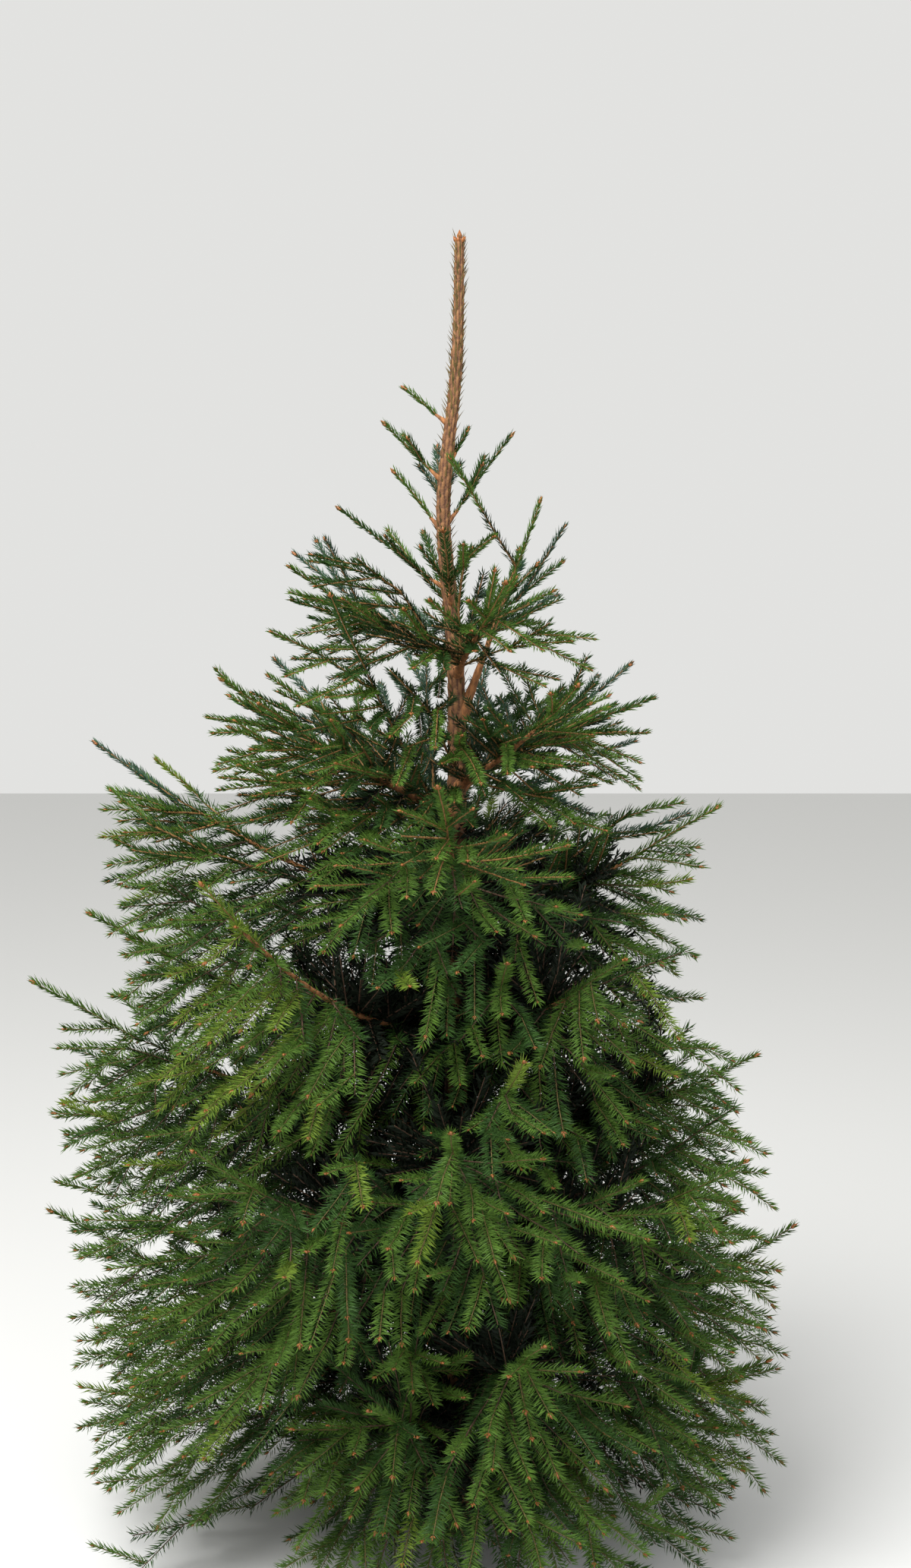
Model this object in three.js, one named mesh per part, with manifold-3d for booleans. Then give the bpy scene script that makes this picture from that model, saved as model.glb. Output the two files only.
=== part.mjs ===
// A young field-grown spruce, 1.65 m tall, rooted in the ground.
// Millimetres, +Z up, +X to the right and -Y towards the viewer. The origin is the centre of the flat
// cut under the trunk, at ground level.
//
// Everything is grown by one seeded rule. Whorls of limbs leave the trunk. A limb follows a route that
// starts flat and curls up towards its tip. Where the inner part of a limb shows, it is a bare bough of
// its own, and the outer part is a mass: one stem with sprays of needles fused to it. The other limbs are
// masses whose stem runs all the way to the trunk. A spray is a branchlet with needles on all sides: a
// three-sided core whose corners step out as teeth that slant forward. Its needles are larger than life.
import * as THREE from "three";
import { mergeVertices } from "three/addons/utils/BufferGeometryUtils.js";
import Module from "manifold-3d";

const wasm = await Module();
wasm.setup();

const tree = {
  height: 1650,
  seed: 301,
  meetingGap: 0.3, // between two pieces that meet
  groundClearance: 10, // nothing but the trunk comes nearer to the ground
};

const trunk = {
  footRadius: 19,
  tipRadius: 5,
  taperPower: 0.9,
  flare: 8, // how far the root flare stands out at the ground
  flareHeight: 38,
  flareLobes: 5,
  lobeDepth: 2.2,
  bend: -18, // sideways, at bendHeight
  bendHeight: 1310,
  bendSpan: 130,
  lean: 5, // sideways, at the tip
  sides: 9,
  rings: 10,
};

const bud = { length: 13, radius: 3.6, count: 4, sides: 3, climb: 62 };

// Radii along a limb: at the trunk, where a mass takes over from a bough, and at the tip.
const limb = {
  rootRadius: 5.6,
  massRadius: 3.6,
  tipRadius: 1.5,
  boughSides: 5,
  boughRings: 3,
  stemSides: 3,
  stemRings: 3,
};

// Whorls from the ground up. height is on the trunk, turn the azimuth of the first limb in degrees, and
// reach the way out to the tips, a share of it more to the left and less to the right by lopsided. A tip
// rises over its root by slope + curl, as shares of the reach. bare is the share of the route without
// sprays, which is a bough of its own where ownBough says so. Sprays hang by droop at its inner end.
const whorls = [
  { name: "a", height: 96, count: 4, turn: 330, reach: 262, lopsided: 0, slope: 0, curl: 0.2,
    bare: 0.26, droop: 0.2 },
  { name: "b", height: 165, count: 4, turn: 76, reach: 395, lopsided: 0.02, slope: -0.04, curl: 0.3,
    bare: 0.26, droop: 0.3 },
  { name: "c", height: 280, count: 4, turn: 10, reach: 470, lopsided: 0.07, slope: -0.04, curl: 0.36,
    bare: 0.28, droop: 0.5 },
  { name: "d", height: 405, count: 4, turn: 54, reach: 485, lopsided: 0.1, slope: 0, curl: 0.36,
    bare: 0.3, droop: 0.6 },
  { name: "e", height: 530, count: 4, turn: 2, reach: 450, lopsided: 0.13, slope: 0.06, curl: 0.28,
    bare: 0.3, droop: 0.6 },
  { name: "f", height: 655, count: 1, turn: 224, reach: 430, lopsided: 0, slope: 0.1, curl: 0.46,
    bare: 0.34, droop: 0.4, ownBough: true },
  { name: "g", height: 670, count: 3, turn: 300, reach: 412, lopsided: 0.14, slope: 0.1, curl: 0.26,
    bare: 0.3, droop: 0.6, ownBough: true },
  { name: "h", height: 810, count: 4, turn: 0, reach: 388, lopsided: 0.13, slope: 0.25, curl: 0.24,
    bare: 0.3, droop: 0.45, ownBough: true },
  { name: "i", height: 945, count: 4, turn: 38, reach: 288, lopsided: 0.1, slope: 0.4, curl: 0.16,
    bare: 0.3, droop: 0.2, ownBough: true },
  { name: "j", height: 1108, count: 3, turn: 48, reach: 200, lopsided: 0.1, slope: 0.5, curl: 0.1,
    bare: 0.14, droop: 0 },
];
const whorlJitter = { azimuth: 9, height: 32, reach: 0.05, slope: 0.05, swing: 0.1 };

// Short twigs high on the trunk: height, azimuth, length and climb in degrees.
const topTwigs = [
  { height: 1414, azimuth: 180, length: 66, climb: 34 },
  { height: 1362, azimuth: 16, length: 48, climb: 56 },
  { height: 1345, azimuth: 184, length: 94, climb: 40 },
  { height: 1300, azimuth: 96, length: 105, climb: 44 },
  { height: 1290, azimuth: 2, length: 128, climb: 50 },
  { height: 1284, azimuth: 170, length: 88, climb: 46 },
  { height: 1212, azimuth: 178, length: 158, climb: 32 },
  { height: 1190, azimuth: 264, length: 128, climb: 44 },
  { height: 1172, azimuth: 110, length: 140, climb: 40 },
  { height: 1150, azimuth: 18, length: 132, climb: 36 },
];

// One steep limb on the right that runs up beside the trunk and forks.
const rival = {
  height: 1040,
  azimuth: 350,
  length: 300,
  climb: 70,
  bare: 0.36,
  needledFrom: 0.6,
  teeth: 4,
  forks: [
    { at: 0.5, azimuth: 0, climb: 25, length: 74 },
    { at: 0.55, azimuth: 70, climb: 45, length: 90 },
    { at: 0.72, azimuth: 214, climb: 54, length: 166 },
  ],
};

// A spray of needles. Its corners turn a little from tooth to tooth, so they stand out on all sides.
const spray = {
  sunk: 4, // how deep its root is sunk in its stem
  coreRadius: 3.2,
  toothRadius: 33,
  outerTooth: 0.5, // its radius at the tip of a mass, as a share of that at the root
  lastTooth: 0.6, // the last tooth, as a share of the first
  toothShare: 0.82, // where in its pitch a tooth is widest, which slants it forward
  tipShare: 0.35, // the point past the last tooth, as a share of a pitch
  pitch: 70,
  fewestTeeth: 2,
  mostTeeth: 3,
  twist: 45, // degrees from one tooth to the next
  spacing: 0.74, // between two sprays of a mass, as a share of their radii
};

// Where sprays leave the stem of a mass, as shares of its needled length, and how they stand.
const fan = {
  stations: [0, 0.19, 0.38, 0.58],
  stationJitter: 0.03,
  spread: 54, // degrees from the stem at its root end
  spreadAtTip: 38,
  spreadJitter: 7,
  longest: 0.5, // of the needled length, added to the shortest
  shortest: 58,
  droopJitter: 0.42,
  curlUp: 0.12,
  hangingStations: [0.08, 0.36],
  hangingLength: 0.34,
  hangingFall: 1.1, // how steeply it hangs, over its way out
  hangingTooth: 0.8, // its needles, as a share of the others
  terminal: 0.36, // share of the needled length under the spray that ends it
  terminalTeeth: 3,
  terminalRadius: 0.5,
  // Length and extra fall that are tried in turn.
  tries: [[1, 0], [1, 0.5], [1, -0.3], [0.8, 0], [0.8, 0.4], [0.62, 0.1]],
};

const topSpray = { toothRadius: 13, pitch: 26, bare: 12, sideShare: 0.46, sideFrom: 100, spread: 50 };

const space = { margin: 5, routePieces: 12 };

const up = new THREE.Vector3(0, 0, 1);
const radians = THREE.MathUtils.degToRad;
const lerp = THREE.MathUtils.lerp;
const straight = new THREE.Vector3(); // no bow

// Park and Miller's generator: the same numbers on every run.
function seededRandom(seed) {
  let state = seed;
  return () => {
    state = (state * 48271) % 2147483647;
    return state / 2147483647;
  };
}

const random = seededRandom(tree.seed);
const jitter = (size) => (random() * 2 - 1) * size;

// Solids

// A lathed shape laid along a route. The profile's y runs from 0 to 1 along the route, its x is the
// radius. The corners turn round the route by twist degrees on the way.
function alongRoute(profile, sides, route, turn = 0, twist = 0) {
  const shape = new THREE.LatheGeometry(profile, sides);
  const place = shape.attributes.position;
  for (let i = 0; i < place.count; i++) {
    const [x, t, z] = [place.getX(i), place.getY(i), place.getZ(i)];
    const direction = directionOf(route, t);
    const side = new THREE.Vector3().crossVectors(direction, up).normalize();
    const top = new THREE.Vector3().crossVectors(side, direction).normalize();
    const angle = Math.atan2(x, z) + radians(turn + twist * t);
    const radius = Math.hypot(x, z);
    top.multiplyScalar(Math.cos(angle) * radius);
    side.multiplyScalar(Math.sin(angle) * radius);
    place.setXYZ(i, ...route(t).add(top).add(side));
  }
  return toSolid(shape);
}

function toSolid(shape) {
  shape.deleteAttribute("normal");
  shape.deleteAttribute("uv");
  const merged = mergeVertices(shape, 1e-4);
  const corners = merged.index.array;
  const faces = [];
  for (let i = 0; i < corners.length; i += 3) {
    const [a, b, c] = corners.slice(i, i + 3);
    // A lathe leaves empty faces where its profile meets the axis.
    if (a !== b && b !== c && c !== a) faces.push(a, b, c);
  }
  return new wasm.Manifold(
    new wasm.Mesh({
      numProp: 3,
      vertProperties: new Float32Array(merged.attributes.position.array),
      triVerts: new Uint32Array(faces),
    }),
  );
}

function fuse(solids) {
  return solids.reduce((all, one) => all.add(one));
}

// The biggest shell of a solid alone, which drops loose scraps and fills sealed hollows.
function oneBody(solid) {
  return solid.decompose().sort((a, b) => b.volume() - a.volume())[0];
}

function toGeometry(solid) {
  const mesh = solid.getMesh();
  return new THREE.BufferGeometry()
    .setAttribute("position", new THREE.BufferAttribute(mesh.vertProperties, 3))
    .setIndex(new THREE.BufferAttribute(mesh.triVerts, 1))
    .toNonIndexed();
}

// A profile that starts and ends on the axis, from pairs of a place along the route and a radius.
function closedProfile(steps) {
  const last = steps[steps.length - 1];
  const points = [[steps[0][0], 0], ...steps, [last[0], 0]];
  return points.map(([t, radius]) => new THREE.Vector2(radius, t));
}

// Routes

function heading(azimuth, climb) {
  const flat = Math.cos(radians(climb));
  const [east, north] = [Math.cos(radians(azimuth)) * flat, Math.sin(radians(azimuth)) * flat];
  return new THREE.Vector3(east, north, Math.sin(radians(climb)));
}

// From root in a direction, with a bow that grows towards the tip.
function bowedRoute(root, direction, length, bow) {
  return (t) =>
    root
      .clone()
      .addScaledVector(direction, length * t)
      .addScaledVector(bow, t * t);
}

// The route of a limb, from the trunk's centre line at t = 0 to its tip at t = 1.
function limbRoute({ height, azimuth, reach, slope, curl, swing }) {
  const out = heading(azimuth, 0);
  const aside = heading(azimuth + 90, 0);
  const bow = aside.multiplyScalar(reach * swing).addScaledVector(up, reach * curl);
  return bowedRoute(trunkAxis(height), out.addScaledVector(up, slope), reach, bow);
}

function directionOf(route, t) {
  const step = 0.01;
  return route(t + step).sub(route(t - step)).normalize();
}

function straightSteps(from, to, radiusFrom, radiusTo, count) {
  return Array.from({ length: count + 1 }, (_, i) => [
    lerp(from, to, i / count),
    lerp(radiusFrom, radiusTo, i / count),
  ]);
}

// The trunk

function trunkAxis(height) {
  const bend = trunk.bend * Math.exp(-(((height - trunk.bendHeight) / trunk.bendSpan) ** 2));
  return new THREE.Vector3(bend + trunk.lean * (height / tree.height) ** 2, 0, height);
}

function trunkRadius(height) {
  const share = Math.max(1 - height / tree.height, 0);
  return trunk.tipRadius + (trunk.footRadius - trunk.tipRadius) * share ** trunk.taperPower;
}

// A lathed shape with level rings, close together at the flare, that is then lobed and bent.
function trunkBody(extraRadius) {
  const steps = Array.from({ length: trunk.rings + 1 }, (_, i) => {
    const height = (tree.height - bud.length) * (i / trunk.rings) ** 1.5;
    return [height, trunkRadius(height) + extraRadius];
  });
  const shape = new THREE.LatheGeometry(closedProfile(steps), trunk.sides);
  const place = shape.attributes.position;
  for (let i = 0; i < place.count; i++) {
    const [x, height, z] = [place.getX(i), place.getY(i), place.getZ(i)];
    const angle = Math.atan2(x, z);
    const radius = Math.hypot(x, z);
    const lobed = trunk.flare + trunk.lobeDepth * Math.cos(angle * trunk.flareLobes);
    const flared = radius > 0 ? radius + Math.exp(-height / trunk.flareHeight) * lobed : 0;
    const axis = trunkAxis(height);
    place.setXYZ(i, axis.x + Math.cos(angle) * flared, axis.y + Math.sin(angle) * flared, height);
  }
  return toSolid(shape);
}

function makeBud(root, direction) {
  const profile = closedProfile([[0, bud.radius * 0.7], [0.55, bud.radius], [1, 0]]).slice(0, -1);
  const start = root.clone().addScaledVector(direction, -bud.length * 0.5);
  const route = bowedRoute(start, direction, bud.length * 1.5, straight);
  return alongRoute(profile, bud.sides, route);
}

// The trunk ends in a middle bud with a ring of buds round it.
function makeTrunk() {
  const top = trunkAxis(tree.height - bud.length);
  const solids = [trunkBody(0), makeBud(top, heading(0, 89))];
  for (let i = 0; i < bud.count; i++) {
    const azimuth = (360 * i) / bud.count + 20;
    const root = top.clone().addScaledVector(heading(azimuth, 0), trunk.tipRadius * 0.6);
    solids.push(makeBud(root.addScaledVector(up, -bud.length * 0.4), heading(azimuth, bud.climb)));
  }
  return fuse(solids);
}

// Sprays

// Steps of a spray's radius between two places on a route: wide at a tooth, narrow between two.
function toothSteps(from, to, teeth, toothRadius) {
  const steps = [];
  const at = (tooth) => lerp(from, to, tooth / (teeth + spray.tipShare));
  for (let tooth = 0; tooth < teeth; tooth++) {
    const shrink = lerp(1, spray.lastTooth, tooth / (teeth - 1));
    steps.push([at(tooth + spray.toothShare), toothRadius * shrink]);
    if (tooth + 1 < teeth) steps.push([at(tooth + 1), spray.coreRadius]);
  }
  return [...steps, [to, 0]];
}

// The space of a mass: the points that are nearer to its own route than to any other.
const routes = new Map();

function claimSpace(name, route) {
  const at = (i) => route(i / space.routePieces);
  const pieces = Array.from({ length: space.routePieces }, (_, i) => new THREE.Line3(at(i), at(i + 1)));
  routes.set(name, pieces);
}

function distanceToRoute(point, name) {
  const nearest = new THREE.Vector3();
  const distanceTo = (piece) => piece.closestPointToPoint(point, true, nearest).distanceTo(point);
  return Math.min(...routes.get(name).map(distanceTo));
}

// Whether a disc of a spray keeps clear of the ground, the trunk and the other masses' spaces.
function isInSpace(centre, name, radius) {
  if (centre.z < tree.groundClearance + radius) return false;
  const fromTrunk = Math.hypot(centre.x - trunkAxis(centre.z).x, centre.y);
  if (centre.z < tree.height && fromTrunk < trunkRadius(centre.z) + space.margin + radius) return false;
  const own = distanceToRoute(centre, name);
  const isClear = (other) => distanceToRoute(centre, other) > own + space.margin + 2 * radius;
  return [...routes.keys()].every((other) => other === name || isClear(other));
}

// Adds a spray to a mass. One that would leave the space of its mass, or crowd a spray that is there, is
// tried again shorter or hanging more, then left out.
function addSpray(mass, root, direction, length, bow, toothRadius, pitch) {
  const turn = random() * 120;
  for (const [share, fall] of fan.tries) {
    const heads = direction.clone().setZ(direction.z - fall).normalize();
    const start = root.clone().addScaledVector(heads, -spray.sunk);
    const route = bowedRoute(start, heads, length * share, bow.clone().multiplyScalar(share));
    const fitting = Math.round((length * share) / pitch);
    const teeth = THREE.MathUtils.clamp(fitting, spray.fewestTeeth, spray.mostTeeth);
    const steps = toothSteps(0, 1, teeth, toothRadius);
    const discs = steps.map(([t, radius]) => ({ centre: route(t), radius }));
    const crowds = (a, b) => a.centre.distanceTo(b.centre) < spray.spacing * (a.radius + b.radius);
    const crowded = discs.some((disc) => mass.discs.some((other) => crowds(disc, other)));
    if (!crowded && discs.every(({ centre, radius }) => isInSpace(centre, mass.name, radius))) {
      const profile = closedProfile([[0, spray.coreRadius], ...steps]).slice(0, -1);
      mass.solids.push(alongRoute(profile, 3, route, turn, spray.twist * teeth));
      mass.discs.push(...discs);
      return;
    }
  }
}

// Pairs of sprays at the stations, and the ones that hang.
function addFan(mass, plan) {
  const { route, bare, droop } = plan;
  const length = route(bare).distanceTo(route(1));
  for (const station of fan.stations) {
    for (const side of [-1, 1]) {
      const share = station + fan.stationJitter + jitter(fan.stationJitter);
      const t = lerp(bare, 1, share);
      const spread = lerp(fan.spread, fan.spreadAtTip, share) + jitter(fan.spreadJitter);
      const direction = directionOf(route, t).applyAxisAngle(up, side * radians(spread));
      direction.z += jitter(fan.droopJitter) - droop * (1 - share);
      const full = (1 - share) * fan.longest * length + fan.shortest;
      const bow = new THREE.Vector3(0, 0, full * fan.curlUp);
      const toothRadius = spray.toothRadius * lerp(1, spray.outerTooth, share);
      addSpray(mass, route(t), direction, full, bow, toothRadius, spray.pitch);
    }
  }
  for (const station of fan.hangingStations) {
    const t = lerp(bare, 1, station);
    const hanging = directionOf(route, t).setZ(-fan.hangingFall);
    const full = length * fan.hangingLength;
    addSpray(mass, route(t), hanging, full, straight, spray.toothRadius * fan.hangingTooth, spray.pitch);
  }
}

// Limbs

function planWhorls() {
  const plans = [];
  for (const whorl of whorls) {
    for (let i = 0; i < whorl.count; i++) {
      const azimuth = whorl.turn + (360 * i) / whorl.count + jitter(whorlJitter.azimuth);
      const height = whorl.height + jitter(whorlJitter.height);
      const longer = 1 - whorl.lopsided * Math.cos(radians(azimuth)) + jitter(whorlJitter.reach);
      plans.push({
        ...whorl,
        name: whorl.name + (i + 1),
        height,
        azimuth,
        reach: whorl.reach * longer,
        slope: whorl.slope + jitter(whorlJitter.slope),
        swing: jitter(whorlJitter.swing),
      });
    }
  }
  return plans;
}

// A stem that starts at the bough's tip or the trunk and ends in a spray, and the sprays along it.
function makeMass(plan) {
  const { name, route, bare, ownBough } = plan;
  const [start, end] = [ownBough ? bare : 0, lerp(1, bare, fan.terminal)];
  const radius = ownBough ? limb.massRadius : limb.rootRadius;
  const stem = straightSteps(start, end, radius, limb.tipRadius, limb.stemRings).slice(0, -1);
  const terminal = toothSteps(end, 1, fan.terminalTeeth, spray.toothRadius * fan.terminalRadius);
  const profile = closedProfile([...stem, ...terminal]).slice(0, -1);
  const discs = terminal.map(([t, size]) => ({ centre: route(t), radius: size }));
  const mass = { name, solids: [alongRoute(profile, limb.stemSides, route)], discs };
  addFan(mass, plan);
  return fuse(mass.solids);
}

function makeBough(route, bare, reach, extra) {
  const end = bare + extra / reach;
  const steps = straightSteps(0, end, limb.rootRadius + extra, limb.massRadius + extra, limb.boughRings);
  return alongRoute(closedProfile(steps), limb.boughSides, route);
}

// A twig that is one slim spray from end to end, with a side spray each way if it is long.
function makeTwig({ name, height, length, route }) {
  const start = (trunkRadius(height) + topSpray.bare) / length;
  const teeth = Math.round(length / topSpray.pitch);
  const stem = [[0, limb.massRadius], [start, spray.coreRadius]];
  const steps = [...stem, ...toothSteps(start, 1, teeth, topSpray.toothRadius)];
  const mass = { name, solids: [alongRoute(closedProfile(steps).slice(0, -1), 3, route)], discs: [] };
  if (length > topSpray.sideFrom) {
    for (const side of [-1, 1]) {
      const t = start + 0.1 + 0.1 * random();
      const direction = directionOf(route, t).applyAxisAngle(up, side * radians(topSpray.spread));
      const full = length * topSpray.sideShare;
      const bow = new THREE.Vector3(0, 0, full * fan.curlUp);
      addSpray(mass, route(t), direction, full, bow, topSpray.toothRadius, topSpray.pitch);
    }
  }
  return fuse(mass.solids);
}

const plans = planWhorls().map((plan) => ({ ...plan, route: limbRoute(plan) }));
const twigs = topTwigs.map((twig, i) => {
  const bow = new THREE.Vector3(0, 0, twig.length * 0.1);
  const route = bowedRoute(trunkAxis(twig.height), heading(twig.azimuth, twig.climb), twig.length, bow);
  return { ...twig, name: "top" + (i + 1), route };
});
const rivalHeading = heading(rival.azimuth, rival.climb);
const rivalRoute = bowedRoute(trunkAxis(rival.height), rivalHeading, rival.length, straight);
for (const { name, route } of [...plans, ...twigs]) claimSpace(name, route);
claimSpace("rival", rivalRoute);

// Pieces

const materials = {
  trunkBark: new THREE.MeshStandardMaterial({ color: 0x9a6b44, roughness: 0.9, metalness: 0 }),
  boughBark: new THREE.MeshStandardMaterial({ color: 0x7f5234, roughness: 0.9, metalness: 0 }),
  needles: new THREE.MeshStandardMaterial({ color: 0x2f5a26, roughness: 0.75, metalness: 0 }),
};

const group = new THREE.Group();

function addPiece(name, solid, material) {
  const mesh = new THREE.Mesh(toGeometry(oneBody(solid)), material);
  mesh.name = name;
  group.add(mesh);
}

const trunkWithGap = trunkBody(tree.meetingGap);
addPiece("trunk", makeTrunk(), materials.trunkBark);

for (const plan of plans) {
  const mass = makeMass(plan);
  const bough = (extra) => makeBough(plan.route, plan.bare, plan.reach, extra);
  if (plan.ownBough) addPiece("bough_" + plan.name, bough(0).subtract(trunkWithGap), materials.boughBark);
  const neighbour = plan.ownBough ? bough(tree.meetingGap) : trunkWithGap;
  addPiece("needles_" + plan.name, mass.subtract(neighbour), materials.needles);
}

for (const twig of twigs) {
  addPiece("needles_" + twig.name, makeTwig(twig).subtract(trunkWithGap), materials.needles);
}

// The steep limb: a bough, and a mass whose forks are slim sprays.
const rivalBough = (extra) => makeBough(rivalRoute, rival.bare, rival.length, extra);
const rivalSteps = [
  ...straightSteps(rival.bare, rival.needledFrom, limb.massRadius, spray.coreRadius, 2),
  ...toothSteps(rival.needledFrom, 1, rival.teeth, topSpray.toothRadius),
];
const rivalStem = alongRoute(closedProfile(rivalSteps).slice(0, -1), 3, rivalRoute);
const rivalMass = { name: "rival", solids: [rivalStem], discs: [] };
for (const fork of rival.forks) {
  const direction = heading(fork.azimuth, fork.climb);
  const root = rivalRoute(fork.at);
  addSpray(rivalMass, root, direction, fork.length, straight, topSpray.toothRadius, topSpray.pitch);
}
addPiece("bough_rival", rivalBough(0).subtract(trunkWithGap), materials.boughBark);
const rivalNeedles = fuse(rivalMass.solids).subtract(rivalBough(tree.meetingGap));
addPiece("needles_rival", rivalNeedles, materials.needles);

export default group;
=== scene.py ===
import itertools
import math

import bmesh
import bpy
import numpy as np
from mathutils import Matrix, Vector, noise


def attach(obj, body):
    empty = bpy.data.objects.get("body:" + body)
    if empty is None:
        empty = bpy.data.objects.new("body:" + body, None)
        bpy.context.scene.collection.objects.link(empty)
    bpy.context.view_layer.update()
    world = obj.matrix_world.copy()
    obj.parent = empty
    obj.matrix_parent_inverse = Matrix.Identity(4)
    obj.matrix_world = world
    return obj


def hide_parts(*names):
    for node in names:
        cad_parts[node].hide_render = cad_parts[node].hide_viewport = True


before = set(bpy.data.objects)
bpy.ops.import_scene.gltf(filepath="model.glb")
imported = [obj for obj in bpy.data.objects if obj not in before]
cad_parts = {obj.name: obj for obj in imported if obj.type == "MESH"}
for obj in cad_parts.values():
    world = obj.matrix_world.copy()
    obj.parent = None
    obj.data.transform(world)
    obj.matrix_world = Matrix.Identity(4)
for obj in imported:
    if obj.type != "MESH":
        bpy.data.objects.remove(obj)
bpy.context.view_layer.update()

# A young field-grown spruce, 1.65 m tall. The limbs follow the same seeded plan as the solids, and each
# mass is grown on from its limb year by year, down to single needles. Metres, +Z up, -Y to the viewer.

boughNodes = [name for name in sorted(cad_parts) if name.startswith("bough_")]
massNodes = [name for name in sorted(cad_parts) if name.startswith("needles_")]
up = Vector((0, 0, 1))
goldenTurn = 2.399963  # radians round a stem from one needle to the next


# small helpers

def seededRandom(state):
    while True:
        state = state * 48271 % 2147483647
        yield state / 2147483647


def mix(a, b, share):
    return a + (b - a) * share


def rampUp(value, first, width):
    # 0 up to the first value, and 1 from so much above it
    return min(max((value - first) / width, 0), 1)


def heading(azimuth, climb):
    turn, rise = math.radians(azimuth), math.radians(climb)
    return Vector((math.cos(turn) * math.cos(rise), math.sin(turn) * math.cos(rise), math.sin(rise)))


def acrossOf(direction):
    across = direction.cross(up)
    return across.normalized() if across.length > 0.05 else Vector((1, 0, 0))


def linearColor(hexText):
    channels = [int(hexText[i:i + 2], 16) / 255 for i in (1, 3, 5)]
    return tuple(c / 12.92 if c <= 0.04045 else ((c + 0.055) / 1.055) ** 2.4 for c in channels) + (1,)


def placeObject(name, data):
    piece = bpy.data.objects.new(name, data)
    bpy.context.scene.collection.objects.link(piece)
    return piece


def addNode(tree, kind, sockets=None, stops=(), **settings):
    # stops are places and colours on a colour ramp
    node = tree.nodes.new(kind)
    for name, value in settings.items():
        setattr(node, name, value)
    for i, (position, hexText) in enumerate(stops):
        node.color_ramp.elements[i].position = position
        node.color_ramp.elements[i].color = linearColor(hexText)
    for name, value in (sockets or {}).items():
        if isinstance(value, bpy.types.NodeSocket):
            tree.links.new(value, node.inputs[name])
        else:
            node.inputs[name].default_value = value
    return node


def finishPiece(piece, material, nodes):
    piece.data.materials.append(material)
    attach(piece, "root")
    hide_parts(*nodes)


# the plan of the limbs, the same as in the solids

treePlan = {
    "height": 1.65,
    "seed": 301,
    "groundClearance": 0.01,
    "routePieces": 24,
    "spaceSlack": (0.06, 0.14),  # how far a shoot may reach into a neighbour's space, and a hanging one
    "twigBow": 0.1,
    "twigBare": 0.012,
    "showyLimb": "f1",  # the limb that shows bare in front
}
trunkPlan = {
    "footRadius": 0.019,
    "tipRadius": 0.005,
    "taperPower": 0.9,
    "flare": 0.008,
    "flareHeight": 0.038,
    "flareLobes": 5,
    "lobeDepth": 0.0022,
    "bend": -0.018,
    "bendHeight": 1.31,
    "bendSpan": 0.13,
    "lean": 0.005,
    "budLength": 0.013,
}
whorls = [
    # name, height, count, turn, reach, lopsided, slope, curl, bare, droop
    ("a", 0.096, 4, 330, 0.262, 0, 0.0, 0.2, 0.26, 0.2),
    ("b", 0.165, 4, 76, 0.395, 0.02, -0.04, 0.3, 0.26, 0.3),
    ("c", 0.28, 4, 10, 0.47, 0.07, -0.04, 0.36, 0.28, 0.5),
    ("d", 0.405, 4, 54, 0.485, 0.1, 0.0, 0.36, 0.3, 0.6),
    ("e", 0.530, 4, 2, 0.450, 0.13, 0.06, 0.28, 0.3, 0.6),
    ("f", 0.655, 1, 224, 0.430, 0, 0.1, 0.46, 0.34, 0.4),
    ("g", 0.670, 3, 300, 0.412, 0.14, 0.1, 0.26, 0.3, 0.6),
    ("h", 0.810, 4, 0, 0.388, 0.13, 0.25, 0.24, 0.3, 0.45),
    ("i", 0.945, 4, 38, 0.288, 0.1, 0.4, 0.16, 0.3, 0.2),
    ("j", 1.108, 3, 48, 0.200, 0.1, 0.5, 0.1, 0.14, 0),
]
whorlJitter = {"azimuth": 9, "height": 0.032, "reach": 0.05, "slope": 0.05, "swing": 0.1}
topTwigs = [
    # height, azimuth, length, climb
    (1.414, 180, 0.066, 34),
    (1.362, 16, 0.048, 56),
    (1.345, 184, 0.094, 40),
    (1.300, 96, 0.105, 44),
    (1.290, 2, 0.128, 50),
    (1.284, 170, 0.088, 46),
    (1.212, 178, 0.158, 32),
    (1.190, 264, 0.128, 44),
    (1.172, 110, 0.140, 40),
    (1.150, 18, 0.132, 36),
]
steepLimb = {
    "height": 1.04,
    "azimuth": 350,
    "length": 0.3,
    "climb": 70,
    "bare": 0.36,
    # at, azimuth, climb, length
    "forks": [(0.5, 0, 25, 0.074), (0.55, 70, 45, 0.09), (0.72, 214, 54, 0.166)],
}


def trunkAxis(height):
    bend = trunkPlan["bend"] * math.exp(-(((height - trunkPlan["bendHeight"]) / trunkPlan["bendSpan"]) ** 2))
    return Vector((bend + trunkPlan["lean"] * (height / treePlan["height"]) ** 2, 0, height))


def trunkRadius(height):
    share = max(1 - height / treePlan["height"], 0)
    return mix(trunkPlan["tipRadius"], trunkPlan["footRadius"], share ** trunkPlan["taperPower"])


def bowedRoute(root, direction, length, bow):
    return lambda t: root + direction * length * t + bow * t * t


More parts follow.
